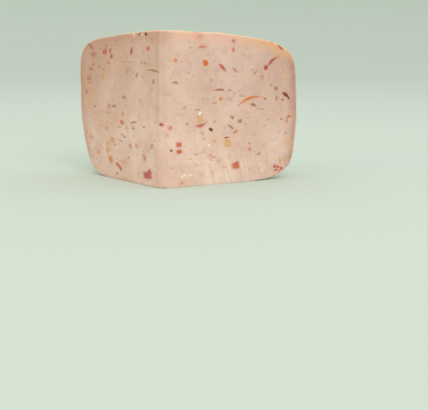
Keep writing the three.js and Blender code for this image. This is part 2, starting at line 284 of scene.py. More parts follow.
# Where the larger flakes lie in the cuts. Their colour seeps into the paste, so they are listed here.
# Each is (along from the sharp edge, height, length, width, tilt, bend, tone, veil), in mm and
# degrees. A tone of 0 is the darkest of its kind, and the veil is the share of thin paste over it.
RED_CHILI = {
    "right": [
        (43, 69.2, 6.2, 1.7, -42, 0, 0.7, 0), (74.8, 69.2, 3, 2.8, 0, 0, 0.32, 0),
        (80, 73, 9.4, 2, 36, 0.6, 0.15, 0.2), (12.4, 25, 3.7, 2.7, -5, 0, 0.8, 0),
        (12.6, 20.9, 3.7, 2.1, 4, 0, 0.75, 0), (52.6, 10.5, 5.2, 4.2, 6, 0, 0.85, 0),
        (82.4, 8.2, 2.6, 2, -12, 0, 0.4, 0.15), (85, 7.6, 2.4, 1.8, 8, 0, 0.5, 0.1),
        (87.6, 6.7, 2.6, 1.9, 20, 0, 0.45, 0.1), (83.2, 5.8, 3, 1.3, 4, 0, 0.3, 0.2),
        (86, 5.3, 2.2, 1.3, 0, 0, 0.5, 0.25), (6.6, 34.9, 2.6, 2.2, 0, 0, 0.95, 0.2),
        (1.2, 37, 2.1, 1.9, 0, 0, 0.3, 0.1), (27.6, 36.3, 8.2, 2, 16, -0.7, 0.45, 0.2),
        (28.6, 81.2, 6.4, 1.6, 3, 0, 0.7, 0.3), (26.5, 87.3, 4.6, 2, 0, 0, 0.5, 0.55),
        (50.6, 85, 3, 1.9, -20, 0, 0.3, 0.4), (50.6, 79.8, 2.9, 1.7, -70, 0, 0.7, 0.2),
        (62.8, 20, 2.4, 2, -60, 0, 0.8, 0.2), (93.1, 38.4, 5, 1.5, 20, 0.5, 0.7, 0.2),
        (91.3, 36.4, 3, 1.5, 74, 0, 0.65, 0.2), (85.6, 81.6, 5.4, 1.5, -35, 0, 0.3, 0.2),
        (34, 17.7, 3.2, 1.8, -24, 0, 0.5, 0.5), (14.4, 2.6, 4.2, 1.8, 0, 0, 0.8, 0.5),
        (40.6, 14.3, 3, 1.2, 10, 0, 0.5, 0.65), (45, 79, 2, 1.6, 0, 0, 0.5, 0.6),
        (90.2, 52.8, 5.4, 2.4, -28, 0, -0.3, 0.05), (92.4, 51, 3.6, 1.5, -52, 0, -0.4, 0.05),
    ],
    "left": [
        (33, 79, 4.8, 1.9, 74, 0.3, 0.3, 0.05), (68, 79, 4.2, 3, 15, 0, 0.7, 0.1),
        (60.6, 79.6, 3.2, 1.6, 65, 0, 0.2, 0.2), (59, 76.2, 3, 1.9, 70, 0, 0.2, 0.1),
        (88, 82.6, 7, 1.6, -38, 0, 0.2, 0.22), (83.8, 77.6, 5.2, 3.8, -10, 0, 0.3, 0.5),
        (84.6, 71.2, 3, 1.8, 20, 0, 0.6, 0.4), (88.2, 68.6, 4.6, 2.2, 0, 0, 0.3, 0.4),
        (91.6, 62.4, 5.4, 3, 0, 0, 0.3, 0.62), (95, 53.9, 3.4, 2, 0, 0, 0.4, 0.5),
        (63.4, 72.4, 3.8, 1.6, 0, 0, 0.7, 0.4), (40, 66, 3.4, 1, 84, 0, 0.4, 0.4),
        (7.5, 61.3, 3.4, 1.6, 84, 0, 0.4, 0.3), (42.9, 51.4, 2.8, 0.9, 58, 0, 0.2, 0.15),
        (44.5, 51.4, 2.8, 0.9, -58, 0, 0.25, 0.15), (64, 45.5, 3, 2.1, 80, 0, 0.4, 0.5),
        (46.3, 36, 3.5, 2.2, -14, 0, 0.85, 0.1), (32, 33.3, 2, 1.6, 0, 0, 0.4, 0.3),
        (90.2, 24.6, 4.6, 2.2, 0, 0, 0.5, 0.5), (36, 22.3, 3.6, 2.2, -56, 0, 1, 0.3),
        (49.8, 7.6, 3, 2, -60, 0, 0.6, 0.1), (53.2, 9.4, 3.3, 2.2, -35, 0, 0.7, 0.1),
        (18.8, 17, 5.8, 2.3, -58, 0, 0.45, 0.42), (15.2, 6.4, 7.2, 4, 6, 0, 0.42, 0.1),
        (12.6, 8.8, 3.4, 2.8, 10, 0, 0.5, 0.12),
        (79, 16.6, 7, 3, -20, 0, 0.3, 0.75),
    ],
}
GOLD_CHILI = {
    "right": [
        (31, 72, 3.7, 3.5, 10, 0, 0, 0), (10.3, 73.5, 2.6, 1.9, 70, 0, 0.1, 0.2),
        (41.5, 50.9, 2.2, 2, 0, 0, 0.2, 0.1), (37.5, 48.8, 4, 1.3, 12, 0, 0, 0.4),
        (62.3, 49.2, 18.6, 2, 17, 1.7, 0.18, 0.12), (72, 63.7, 2.6, 2, 80, 0, 0.3, 0.2),
        (27, 39.4, 3.8, 3.4, 0, 0, 0.9, 0.05), (46.6, 24.3, 4.4, 4.1, 0, 0, 0.95, 0),
        (52.3, 31, 4, 1.5, 26, 0, 0, 0.15), (37.3, 26.3, 2, 1.8, 0, 0, 0.3, 0.5),
        (44.3, 10.2, 1.8, 1.6, 0, 0, 0.1, 0.4), (35.3, 7.5, 2.2, 1.4, 80, 0, 0.2, 0.5),
        (86.3, 11.6, 3, 2.4, 0, 0, 0.7, 0.4), (91.6, 22.6, 6, 5, 0, 0, 0.7, 0.66),
        (74, 22, 2.6, 2.2, 0, 0, 0.8, 0.5), (62, 41.8, 2.2, 1.6, 0, 0, 0.8, 0.55),
        (60.4, 81, 2.6, 1.6, 0, 0, 0.4, 0.6), (88.6, 67.6, 4, 1.6, 68, 0, 0.8, 0.6),
        (21.6, 52.6, 2.4, 1.6, -60, 0, 0.6, 0.65), (20.4, 48, 3, 1.2, 80, 0, 0.7, 0.75),
    ],
    "left": [
        (13, 80.2, 2.9, 2.6, 0, 0, 0.1, 0.15), (8, 85, 3.2, 2.6, 0, 0, 0.2, 0.6),
        (71.6, 64.2, 4, 2.2, 84, 0, 0.7, 0.1), (87, 51.5, 6, 3.4, 86, 0, 0.8, 0.62),
        (23, 50.6, 3.4, 2.6, 86, 0, 0.7, 0.55), (45.3, 41.4, 3, 2.1, 80, 0, 0.5, 0.3),
        (55, 38.2, 3, 1.8, 80, 0, 0.6, 0.4), (40.5, 33, 3.6, 1, 86, 0, 0.4, 0.3),
        (46, 44.6, 2.6, 1.4, 80, 0, 0.8, 0.55), (68.3, 31.6, 4, 2.4, 0, 0, 0.2, 0.5),
        (60, 24.5, 3.6, 2.8, -10, 0, 0.6, 0.15), (66.4, 22, 3, 2.2, 84, 0, 0.75, 0.25),
        (66.4, 17.4, 3.6, 2.6, -60, 0, 0.75, 0.2), (28.5, 23.3, 2.6, 1.9, 80, 0, 0.6, 0.2),
        (62.5, 11.8, 4.6, 3, -50, 0, 0.45, 0.05), (45.4, 12, 3, 1.9, 76, 0, 0.4, 0.5),
        (14.2, 40.6, 4.4, 1.4, 86, 0, 0.7, 0.62), (24, 41, 2.8, 2.4, 0, 0, 0.8, 0.66),
        (78, 33, 5, 2, 0, 0, 0.5, 0.72), (57, 76.8, 2, 1.4, 0, 0, 0.3, 0.5),
        (90.6, 59.8, 3, 2.2, 0, 0, 0.1, 0.45),
    ],
}
DARK_SKIN = {
    "right": [
        (41, 56.1, 9, 1.4, 0, 0.3, 0.45, 0.15), (48, 56, 3.6, 0.9, 4, 0, 0.4, 0.4),
        (83.2, 50.2, 3.2, 1.2, 78, 0, 0.5, 0.1),
        (88, 49.4, 1.7, 1.4, 0, 0, 0.4, 0.1), (34.5, 33, 3, 1.9, -30, 0, 0, 0),
        (46, 27.8, 4.2, 1.2, 4, 0, 0.3, 0.1), (49.8, 39.8, 3.3, 1.8, -34, 0, 0.8, 0.1),
        (67, 66.3, 3, 1.2, 50, 0, 0.6, 0.2), (64.2, 67.8, 3, 0.7, -10, 0, 0.7, 0.4),
        (52.4, 67.9, 5.6, 1.3, -32, -0.4, 0.7, 0.25), (65.6, 46.6, 4.6, 1.9, -16, 0.3, 0.6, 0.1),
        (72, 44.2, 4.2, 0.8, -6, 0, 0.8, 0.4), (79.3, 58.5, 2, 1.5, 30, 0, 0.7, 0.3),
        (74.4, 50.4, 2.2, 1.4, 0, 0, 0.5, 0.2), (7.2, 21.8, 1.9, 1.5, 0, 0, 0.3, 0.15),
        (87.1, 37.6, 1.9, 1.6, 0, 0, 0.6, 0.25), (18, 37, 2.6, 1.8, 0, 0, 0.2, 0.7),
        (37.2, 37.6, 3, 1.3, 20, 0, 0.3, 0.6), (57, 52.4, 5.6, 0.7, -4, 0, 0.6, 0.4),
        (90.6, 28.6, 2.4, 1.6, 0, 0, 0.5, 0.55), (69.8, 16.4, 3.8, 0.8, 20, 0, 0.6, 0.35),
    ],
    "left": [
        (15.2, 88.4, 2.2, 1.5, -40, 0, 0, 0), (22.6, 88.6, 4, 1.6, 20, 0, 0.5, 0.3),
        (9.4, 24.4, 3.6, 1.9, 74, 0, 0.6, 0.45), (6.4, 27.6, 2, 1, 60, 0, 0.5, 0.45),
        (49, 24.9, 5.6, 1.1, -16, 0, 0.7, 0.5), (83.4, 44.6, 1.7, 1.5, 0, 0, 0.3, 0.35),
        (57, 45.6, 6.4, 0.8, -6, 0, 0.5, 0.4), (65.6, 41.4, 5, 1.4, 0, 0, 0.7, 0.6),
        (37, 68.2, 7, 3.4, 10, 0, 0.5, 0.82), (20.6, 72.6, 3, 1.6, 70, 0, 0.4, 0.65),
        (18.6, 34.7, 2.2, 1.5, 0, 0, 0.5, 0.4), (76, 69.6, 2.6, 1.6, 0, 0, 0.5, 0.55),
    ],
}
HERB_FLECKS = {
    "right": [
        (19, 66.4, 3.2, 1.2, 10, 0, 0.6, 0.5), (10.2, 60.6, 4.4, 1.7, 0, 0.3, 0.3, 0.25),
        (9.4, 67.2, 3, 0.8, 60, 0, 0.5, 0.6), (7, 63.8, 4, 0.8, -40, 0, 0.5, 0.7),
        (35, 62, 2.6, 1.8, 0, 0, 0.7, 0.5), (37.4, 73.4, 6, 1.6, 20, 0, 0.5, 0.72),
        (82.6, 56.6, 3, 2.2, -15, 0, 0.1, 0.15), (25.4, 44.9, 3.8, 1.1, 0, 0, 0.3, 0.3),
        (55.6, 37.3, 3.4, 2.3, 8, 0, 0.2, 0.15), (48.6, 34.3, 5.2, 1.8, -32, 0, 0.1, 0.2),
        (59.8, 35.4, 1.9, 1.6, 0, 0, 0.5, 0.5), (48, 50.9, 3.4, 0.9, -4, 0, 0.6, 0.45),
        (62.8, 23.6, 2.4, 1.5, 0, 0, 0.3, 0.4), (76.6, 37.2, 4, 1.2, 20, 0.4, 0.4, 0.45),
        (28.8, 30.6, 2.6, 2, -50, 0, 0.8, 0.45), (29.6, 27.6, 2, 1.3, 40, 0, 0.6, 0.35),
        (24.2, 18.9, 3.2, 2.2, -10, 0, 0.7, 0.5), (70.6, 7.4, 3.4, 1.3, 70, 0, 0.6, 0.45),
        (36.9, 16.4, 2, 1.2, 0, 0, 0.2, 0.3), (57.4, 49, 2, 1, 0, 0, 0.4, 0.6),
        (31, 66.8, 7, 0.7, -44, 0, 0.5, 0.72), (68.8, 44.4, 2, 1, 0, 0, 0.4, 0.5),
    ],
    "left": [
        (7.2, 67.3, 10.5, 1.5, -9, 0.4, 0.2, 0.25), (26.4, 65, 3.6, 1.7, 60, 0, 0.25, 0.2),
        (66, 82.6, 2.8, 1.8, 0, 0, 0.3, 0.4), (32, 36.6, 5.8, 1.7, 10, 0.2, 0.4, 0.15),
        (26, 65.6, 4, 2.2, 30, 0, 0.4, 0.6), (8.6, 57.4, 4.4, 2, 80, 0, 0.5, 0.75),
        (46.6, 28.6, 3, 1.2, 0, 0, 0.4, 0.4), (50.4, 33, 3.6, 1.3, 0, 0, 0.5, 0.5),
        (78.6, 29.4, 5, 1, 60, 0, 0.6, 0.65), (35.4, 72.6, 3.6, 1.6, 0, 0, 0.6, 0.75),
        (70, 68, 2.4, 1.8, 0, 0, 0.5, 0.6), (41, 47, 1.8, 1.2, 0, 0, 0.6, 0.7),
        (81.6, 47.4, 2.4, 1.3, 0, 0, 0.6, 0.65), (31.6, 28.8, 3.4, 1.6, 20, 0, 0.5, 0.7),
    ],
}
KINDS = {"red": RED_CHILI, "gold": GOLD_CHILI, "skin": DARK_SKIN, "herb": HERB_FLECKS}

# Finer flakes are spread by a rule, in each kind's share, thinner near the sharp edge.
FINE_PER_FACE = 85
FINE_PATCH = 17  # millimetres between one rich patch of the curd and the next
FINE_SHARES = (("red", 0.24), ("gold", 0.3), ("skin", 0.18), ("herb", 0.28))
FINE_SEED = 7
chance = random.Random(FINE_SEED)
for name in FACES:
    busy = [flake for kind in KINDS.values() for flake in kind[name]]
    placed = 0
    while placed < FINE_PER_FACE:
        along, height = chance.uniform(3, 97), chance.uniform(3, 86)
        long = 0.8 + 2.2 * chance.random() ** 2.4
        corner = max(0, along - 82) + max(0, abs(height - 45) - 30)
        rich = noise.noise(Vector((along / FINE_PATCH, height / FINE_PATCH, len(name))))
        clear = all(
            math.hypot(other[0] - along, other[1] - height) > 0.5 * other[2] + long
            for other in busy
        )
        if corner > 16 or rich < chance.uniform(-0.35, 0.25) or not clear:
            continue
        kind = chance.choices(*zip(*FINE_SHARES))[0]
        wide = min(1.5, long * chance.uniform(0.25, 0.85))
        shape = (long, wide, chance.uniform(-35, 35), 0)
        flake = (along, height, *shape, chance.uniform(0.35, 1), chance.uniform(0.3, 0.85))
        KINDS[kind][name].append(flake)
        busy.append(flake)
        placed += 1

# Oil and colour from the flakes seep a little way into the paste round them.
SEEP = 1.9 * MM
stain = {"red": np.zeros(len(points)), "gold": np.zeros(len(points))}
for name, face in FACES.items():
    along = (points - np.array(sharp_edge)) @ np.array(face["along"])
    on_face = (behind[name] < 1.6 * MM) * is_cut
    for kind, seeped in stain.items():
        for at, height, long, wide, tilt, _, _, veil in KINDS[kind][name]:
            across, above = along - at * MM, points[:, 2] - height * MM
            far = oval_reach(across, above, long, wide, tilt, SEEP * (1 + veil))
            strength = min(1, 0.25 * wide)
            np.maximum(seeped, strength * on_face * (1 - smooth(far, 0.35, 1)), out=seeped)
for kind, seeped in stain.items():
    keep_values(body, f"{kind}_stain", seeped)


# The finish of the body. The paste is pale and pinkish, faintly marbled by the curds and moist from
# the knife. Painted shade darkens it up high and painted light from the floor brightens its foot.
# It is browner outward, and golden under the rind at the upper right. The rind shows the weave of
# the cheese cloth.
class Wire:
    """A socket in a material. Sums on it add Math nodes, and node adds any other kind."""

    def __init__(self, socket):
        self.socket = socket

    def node(self, kind, sockets, output=0, stops=(), **settings):
        tree = self.socket.id_data
        made = tree.nodes.new(kind)
        for name, value in settings.items():
            setattr(made, name, value)
        for number, (place, colour) in enumerate(stops):
            elements = made.color_ramp.elements
            stop = elements[number] if number < 2 else elements.new(place)
            stop.position, stop.color = place, colour
        for name, value in sockets.items():
            if isinstance(value, Wire):
                tree.links.new(value.socket, made.inputs[name])
            else:
                made.inputs[name].default_value = value
        return Wire(made.outputs[output])

    def math(self, operation, first, second=0.0):
        return self.node("ShaderNodeMath", {0: first, 1: second}, operation=operation)

    def __add__(self, other):
        return self.math("ADD", self, other)

    def __sub__(self, other):
        return self.math("SUBTRACT", self, other)

    def __rsub__(self, other):
        return self.math("SUBTRACT", other, self)

    def __mul__(self, other):
        return self.math("MULTIPLY", self, other)

    def __pow__(self, other):
        return self.math("POWER", self, other)

    __radd__ = __add__
    __rmul__ = __mul__

    def axis(self, name):
        """One of a place's three numbers."""
        return self.node("ShaderNodeSeparateXYZ", {0: self}, output=name)

    def sine(self):
        return self.math("SINE", self)

    def rise(self, start, end):
        """0 where this is at start, 1 where it is at end, with an easy rise between."""
        ends = {"Value": self, "From Min": start, "From Max": end}
        return self.node("ShaderNodeMapRange", ends, interpolation_type="SMOOTHSTEP")

    def mix(self, first, second):
        """The first colour where this is 0 and the second where it is 1."""
        sockets = {0: self, 6: first, 7: second}
        return self.node("ShaderNodeMix", sockets, output=2, data_type="RGBA")

    def stretched(self, x, y, z):
        """A place with its axes scaled, so that a pattern on it is drawn out."""
        return self.node("ShaderNodeVectorMath", {0: self, 1: (x, y, z)}, operation="MULTIPLY")

    def cloud(self, size, detail=2.0, seed=0.0):
        """Soft noise from 0 to 1, with patches about this size in metres."""
        sockets = {"Vector": self, "W": seed, "Scale": 1 / size, "Detail": detail}
        return self.node("ShaderNodeTexNoise", sockets, noise_dimensions="4D")

    def cells(self, size, feature="F1"):
        """The distance inside cells of about this size."""
        sockets = {"Vector": self, "Scale": 1 / size}
        return self.node("ShaderNodeTexVoronoi", sockets, feature=feature)


def shade(red, green, blue):
    """A colour given as it looks on a screen, 0 to 255, in the linear values that a node takes."""
    linear = [
        value / 3294.6 if value <= 10.31 else ((value / 255 + 0.055) / 1.055) ** 2.4
        for value in (red, green, blue)
    ]
    return (*linear, 1.0)


def new_material(name, **sockets):
    """A material with these values on its shader. Returns it, its shader and its places."""
    material = bpy.data.materials.new(name)
    material.use_nodes = True
    shader = material.node_tree.nodes["Principled BSDF"]
    for socket, value in sockets.items():
        shader.inputs[socket.replace("_", " ")].default_value = value
    places = material.node_tree.nodes.new("ShaderNodeTexCoord").outputs["Object"]
    return material, shader, Wire(places)


def feed(shader, **sockets):
    """Links wires to a shader's sockets."""
    for socket, wire in sockets.items():
        shader.id_data.links.new(wire.socket, shader.inputs[socket.replace("_", " ")])


def kept(place, name):
    """A number kept on the mesh."""
    return place.node("ShaderNodeAttribute", {}, output="Fac", attribute_name=name)


PASTE = shade(224, 196, 181)
PASTE_WARM = shade(216, 184, 163)
PASTE_PALE = shade(235, 213, 200)
PASTE_ROSE = shade(209, 169, 165)
# The next two colours carry painted shade and browning, on the left cut and on the right
PASTE_BROWN_SHADE = shade(168, 125, 98)
PASTE_DUSKY_SHADE = shade(168, 132, 120)
CURD_SEAM = shade(188, 156, 132)
UNDER_RIND_GOLD = shade(222, 166, 114)
UNDER_RIND_PEACH = shade(222, 174, 150)
UNDER_RIND_BROWN = shade(154, 106, 86)
UNDER_RIND_AMBER = shade(180, 122, 88)
RIND_LINE = shade(238, 204, 172)
RED_SEEP = shade(204, 134, 112)
GOLD_SEEP = shade(211, 168, 122)
# Painted shade inside the openings
HOLLOW_SHADE = shade(152, 114, 96)
SCRAPE_LEAN = 0.3  # how far a scraped line runs outward for each step down
SCRAPE_CLIMB = 0.14  # how much higher the scraped part reaches for each step outward


def paste_colour(place):
    """The cut paste's colour: marbled, browner outward, and darker up high as painted shade."""
    # Soft marbling, a pale grain, faint seams between the curds, and the lines that the knife left
    broad = place.cloud(26 * MM, detail=3.0, seed=1.5).rise(0.34, 0.66)
    cloudy = place.cloud(7 * MM, detail=3.0, seed=4.0).rise(0.36, 0.68)
    seams = 1 - place.cells(5.5 * MM, "DISTANCE_TO_EDGE").rise(0.0, 0.12)
    grain = place.cloud(1.3 * MM, detail=4.0, seed=2.5).rise(0.34, 0.72)
    colour = broad.mix(PASTE, PASTE_WARM)
    colour = (cloudy * 0.42).mix(colour, PASTE_ROSE)
    colour = (grain * 0.22).mix(colour, PASTE_PALE)
    colour = (seams * cloudy * 0.2).mix(colour, CURD_SEAM)
    colour = (scraped(place) * 0.8).mix(colour, PASTE_PALE)
    level = place.stretched(0.06, 0.06, 1).cloud(0.9 * MM, detail=1.0, seed=33.0).rise(0.5, 0.68)
    rippled = level * place.cloud(14 * MM, detail=2.0, seed=34.0).rise(0.46, 0.64)
    colour = (rippled * 0.22).mix(colour, CURD_SEAM)

    # How much darker and browner it is painted. Darker high up is painted shade, and least round
    # the foot is painted light from the floor. Browner far out and on the worn edge, on the left
    # cut behind the edge, and on the right cut half way up.
    x, y, height = (place.axis(name) for name in "XYZ")
    outward = ((x - sharp_edge.x) ** 2 + (y - sharp_edge.y) ** 2) ** 0.5
    right_cut = x.rise(3 * MM, 10 * MM)
    # Paler round the foot: painted light from the floor
    painted_light_at_foot = (1 - height.rise(18 * MM, 60 * MM)) * (0.55 - right_cut * 0.45)
    # Darker high up: painted shade
    shade_and_browning = height.rise(22 * MM, 90 * MM) * 0.27
    shade_and_browning += outward.rise(22 * MM, 102 * MM) * 0.3 * (1 - painted_light_at_foot)
    shade_and_browning += (1 - outward.rise(2 * MM, 6 * MM)) * (0.16 - height.rise(64 * MM, 82 * MM) * 0.13)
    left_of_edge = (1 - right_cut) * (1 - outward.rise(6 * MM, 32 * MM))
    shade_and_browning += left_of_edge * height.rise(30 * MM, 75 * MM) * 0.16
    mid_height = height.rise(25 * MM, 55 * MM) * (1 - height.rise(60 * MM, 84 * MM))
    shade_and_browning += right_cut * mid_height * (1 - outward.rise(40 * MM, 82 * MM)) * 0.14
    # The colour of the painted shade and browning: browner on the left cut, duskier on the right
    brown_shade_colour = x.rise(-10 * MM, 40 * MM).mix(PASTE_BROWN_SHADE, PASTE_DUSKY_SHADE)
    colour = (shade_and_browning + (broad - 0.5) * 0.08).mix(colour, brown_shade_colour)

    # Under the rind it is amber on the left cut and brown on the right, and there peach to gold
    # along the top.
    close = kept(place, "near_rind")
    uneven = place.cloud(13 * MM, detail=3.0, seed=5.0)
    toward_rind = (close + (uneven - 0.5) * 0.9).rise(0.2, 1.0)
    lit_rim = height.rise(69 * MM, 80 * MM) * right_cut
    rim = right_cut.mix(UNDER_RIND_AMBER, UNDER_RIND_BROWN)
    rim = lit_rim.mix(rim, x.rise(38 * MM, 55 * MM).mix(UNDER_RIND_PEACH, UNDER_RIND_GOLD))
    colour = (toward_rind * (lit_rim * 0.25 + right_cut * 0.15 + 0.45)).mix(colour, rim)
    return (close.rise(0.84, 0.94) * 0.75).mix(colour, RIND_LINE)


def scraped(place):
    """Where the knife scraped pale, steeply leaning lines into the foot of the right cut."""
    x, y, z = (place.axis(name) for name in "XYZ")
    across_lines = (x + y) * HALF + z * SCRAPE_LEAN
    drawn = place.node("ShaderNodeCombineXYZ", {0: across_lines, 2: z * 0.04})
    lines = drawn.cloud(0.95 * MM, detail=1.0, seed=31.0).rise(0.47, 0.66)
    patches = place.cloud(9 * MM, detail=2.0, seed=32.0).rise(0.3, 0.58)
    at_foot = 1 - (z - x * SCRAPE_CLIMB).rise(4 * MM, 16 * MM)
    return lines * patches * at_foot * x.rise(18 * MM, 32 * MM)


def knife_marks(place):
    """Heights of the fine lines that the knife dragged: upright low down, level near the top."""
    upright = place.stretched(1, 1, 0.025).cloud(0.75 * MM, detail=1.0, seed=3.0)
    level = place.stretched(0.02, 0.02, 1).cloud(0.6 * MM, detail=1.0, seed=6.0)
    where_upright = place.cloud(30 * MM, seed=7.5).rise(0.42, 0.62)
    where_level = place.cloud(26 * MM, seed=9.0).rise(0.46, 0.64)
    return upright * where_upright + level * where_level * 0.7


RIND = shade(240, 214, 194)
RIND_GOLD = shade(236, 206, 168)
RIND_ROSE = shade(232, 192, 174)
RIND_BLOT = shade(190, 160, 148)
RIND_SPECK = shade(112, 84, 72)
RIND_BURIED = shade(222, 146, 118)  # where chili shows through from below
THREAD = 1.15 * MM  # from one thread of the cheese cloth to the next
WEAVE = 2 * math.pi / THREAD

finish, shader, place = new_material(
    "paste_and_rind", Subsurface_Weight=0.16, Subsurface_Radius=(1.0, 0.6, 0.4),
    Subsurface_Scale=0.9 * MM, IOR=1.42, Specular_IOR_Level=0.42,
)
is_paste = kept(place, "cut")
paste = paste_colour(place)
seeping = place.cloud(1.8 * MM, detail=3.0, seed=26.0).rise(0.3, 0.7) * 0.5 + 0.35
paste = (kept(place, "red_stain") * seeping).mix(paste, RED_SEEP)
paste = (kept(place, "gold_stain") * seeping).mix(paste, GOLD_SEEP)
# Painted shade: the paste is darker inside the openings and pinholes, where shade falls
paste = kept(place, "hollow_and_shade").mix(paste, HOLLOW_SHADE)

gold_patch = place.cloud(34 * MM, detail=5.0, seed=11.0).rise(0.42, 0.66)
rose_patch = place.cloud(20 * MM, detail=3.0, seed=12.0).rise(0.5, 0.68)
blot = place.cloud(9 * MM, detail=3.0, seed=13.0).rise(0.6, 0.76)
buried = place.stretched(1, 1, 2.4).cloud(4.6 * MM, detail=1.0, seed=14.0).rise(0.68, 0.78)
speck = (1 - place.cells(9 * MM).rise(0.05, 0.1)) * place.cloud(18 * MM, seed=15.0).rise(0.5, 0.55)
rind = gold_patch.mix(RIND, RIND_GOLD)
rind = (rose_patch * 0.7).mix(rind, RIND_ROSE)
rind = (blot * 0.45).mix(rind, RIND_BLOT)
rind = (buried * 0.4).mix(rind, RIND_BURIED)
rind = (speck * 0.8).mix(rind, RIND_SPECK)

# The cloth lay round the side and flat over the top and the foot.
x, y, z = (place.axis(name) for name in "XYZ")
around = place.math("ARCTAN2", y - wheel_axis.y, x - wheel_axis.x)
on_side = z.rise(5 * MM, 14 * MM) * (1 - z.rise(78 * MM, 84 * MM))
side_weave = (around * (WEAVE * WHEEL_RADIUS)).sine() + (z * WEAVE).sine()
flat_weave = (x * WEAVE).sine() + (y * WEAVE).sine()
weave = side_weave * on_side + flat_weave * (1 - on_side)
worn = place.cloud(16 * MM, detail=3.0, seed=16.0).rise(0.35, 0.7)
rind_height = weave * worn * 0.16 + place.cloud(1.1 * MM, detail=4.0, seed=17.0)
paste_height = knife_marks(place) * 0.6 + place.cloud(0.9 * MM, detail=3.0, seed=18.0) * 0.5
paste_height = paste_height + scraped(place) * 0.5
height = rind_height * (1 - is_paste) + paste_height * is_paste
bumps = place.node("ShaderNodeBump", {"Strength": 0.5, "Distance": 0.22 * MM, "Height": height})
damp = place.cloud(6 * MM, detail=3.0, seed=19.0)
feed(
    shader,
    Base_Color=is_paste.mix(rind, paste),
    Roughness=is_paste * (damp * 0.3 - 0.28) + 0.66,
    Normal=bumps,
)
body.data.materials.clear()
body.data.materials.append(finish)
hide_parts("cheese_wedge")
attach(body, "root")


# The flakes: chopped red and golden chili, dark bits of skin and olive herb, stirred into the curd
# before it was pressed. The knife cut them across with the paste, so they lie flush, some bare and
# some under thin paste, and their middles stand slightly proud as the cheese dries.
FLAKE_SIDES = 20
FLAKE_ROOT = 0.6 * MM  # how deep a flake is set
FLAKE_SINK = 0.13 * MM  # its rim lies this far under the surface
FLAKE_CROWN = 0.3 * MM  # its middle stands this far above its rim
FLAKE_DOME = ((0.08, 0.55), (0.13, 0.3), (0.15, 0.15))  # each step's way in, and its rise
SHOWN = 1.32  # the paste smears over a flake's rim, so it is cut this much larger than it shows
DRAWN_OUT = {"right": 1.0, "left": 1.5}  # the left cut runs along the press, so flakes show longer
FLAKE_SEED = 11
LOOK_FROM = 8 * MM  # the surface under a flake is looked for from this far outside
LOOK_LENGTH = 12 * MM

bpy.ops.object.select_all(action="DESELECT")
bpy.ops.mesh.primitive_cylinder_add(vertices=FLAKE_SIDES, radius=0.5, location=(0, 0, -1))
blank = bpy.context.active_object
bpy.ops.object.transform_apply(location=True)
for polygon in blank.data.polygons:
    polygon.select = polygon.normal.z > 0.9
for part in (*blank.data.vertices, *blank.data.edges):
    part.select = False
bpy.ops.object.mode_set(mode="EDIT")
bpy.context.tool_settings.mesh_select_mode = (False, False, True)
for inward, lift in FLAKE_DOME:
    bpy.ops.mesh.inset(thickness=inward, depth=lift)
bpy.ops.mesh.poke()
bpy.ops.object.mode_set(mode="OBJECT")
bpy.ops.object.shade_smooth()
blank_points = read_points(blank)
blank_rim = 2 * np.hypot(blank_points[:, 0], blank_points[:, 1])
keep_values(blank, "rim", blank_rim)
keep_values(blank, "skin_side", 2 * blank_points[:, 1])


def surface_under(spot, out):
    """Where the body's surface is under a spot, looking against the out direction."""
    start = spot + out * LOOK_FROM
    hit, ground, normal, _ = body.ray_cast(start, -out, distance=LOOK_LENGTH)
    if not hit:
        _, ground, normal, _ = body.closest_point_on_mesh(spot)
    return ground, normal


def lay_flake(spot, along, out, flake, on_rind, drawn_out=1.0):
    """Sets one flake in the surface at a spot, with its length near the along direction."""
    long, wide, tilt, bend, tone, veil = flake
    seed = chance.uniform(0, 100)
    turned = Matrix.Rotation(math.radians(tilt), 3, out) @ along
    across = out.cross(turned)
    slender = long / max(wide, 0.1)
    shaped = np.empty_like(blank_points)
    for number, (x, y, z) in enumerate(blank_points):
        # The outline is ragged and uneven, squarer on a chip and tapered on a strip.
        angle = math.atan2(y, x)
        facing = Vector((math.cos(angle), math.sin(angle), 0))
        ragged = 1 + 0.3 * noise.noise(facing * 1.2 + UP * seed)
        ragged += 0.13 * noise.noise(facing * 3.1 - UP * seed)
        corner = max(abs(facing.x), abs(facing.y), 0.1)
        square = corner ** (-0.75 if slender < 2 else 0)
        run = 2 * x * ragged * square
        taper = 1 - 0.35 * abs(run) ** 2 if slender > 2.5 else 1
        taper *= 1 + 0.36 * noise.noise(Vector((run * 2.6, seed, 1)))
        rise = 2 * y * ragged * square * taper

        # Bent, laid along the face, and let down onto the surface
        run_mm = run * long * SHOWN / 2
        rise_mm = rise * wide * SHOWN / 2 + bend * (1 - 2 * run * run)
        offset = (turned * run_mm + across * rise_mm) * MM
        offset += along * offset.dot(along) * (drawn_out - 1)
        ground, _ = surface_under(spot + offset, out)
        lift = z * FLAKE_CROWN if z > 0 else z / 2 * FLAKE_ROOT
        shaped[number] = ground + out * (lift - FLAKE_SINK)
    piece = blank.copy()
    piece.data = blank.data.copy()
    bpy.context.collection.objects.link(piece)
    write_points(piece, shaped)
    count = len(shaped)
    keep_values(piece, "tone", np.full(count, tone))
    keep_values(piece, "veil", np.full(count, veil))
    keep_values(piece, "on_rind", np.full(count, on_rind))
    return piece


bpy.context.view_layer.update()
chance = random.Random(FLAKE_SEED)
laid = {kind: [] for kind in KINDS}
for kind, flakes in KINDS.items():
    for name, face in FACES.items():
        to_right = face["along"] if name == "right" else -face["along"]
        for at, height, *flake in flakes[name]:
            spot = sharp_edge + face["along"] * at * MM + UP * height * MM
            drawn_out = DRAWN_OUT[name]
            laid[kind].append(lay_flake(spot, to_right, face["out"], flake, 0.0, drawn_out))

